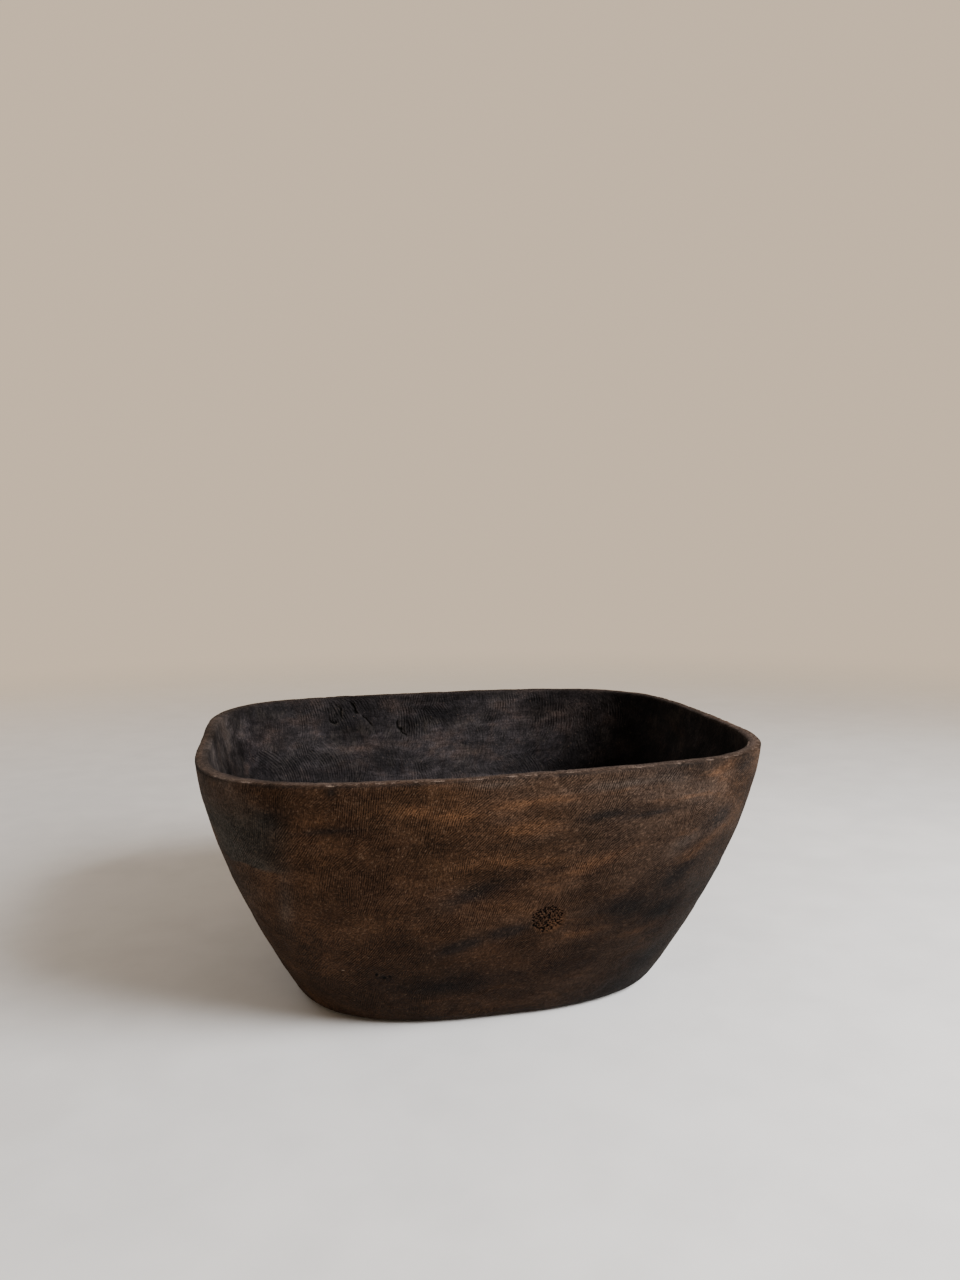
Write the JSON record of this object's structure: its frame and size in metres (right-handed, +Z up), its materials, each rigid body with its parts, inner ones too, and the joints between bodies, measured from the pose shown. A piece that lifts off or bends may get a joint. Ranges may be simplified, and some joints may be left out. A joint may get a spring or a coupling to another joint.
{
  "type": "carved wooden bowl",
  "caption": "Deep free-standing wooden bowl hewn from solid timber, with a rounded-rectangle mouth, flared walls, a thin flat rim and a smaller flat foot, for holding food or goods.",
  "frame": {"origin": "middle of the bowl's plan, on the flat foot that it stands on", "axes": "+X along the bowl's length, +Y across its width, +Z up out of its mouth"},
  "size_m": [0.6, 0.5164, 0.2752],
  "materials": {
    "carved_wood": "dark oiled timber with fine adze marks, satin to matt"
  },
  "bodies": {
    "root": {"bowl": "carved_wood"}
  },
  "joints": []
}
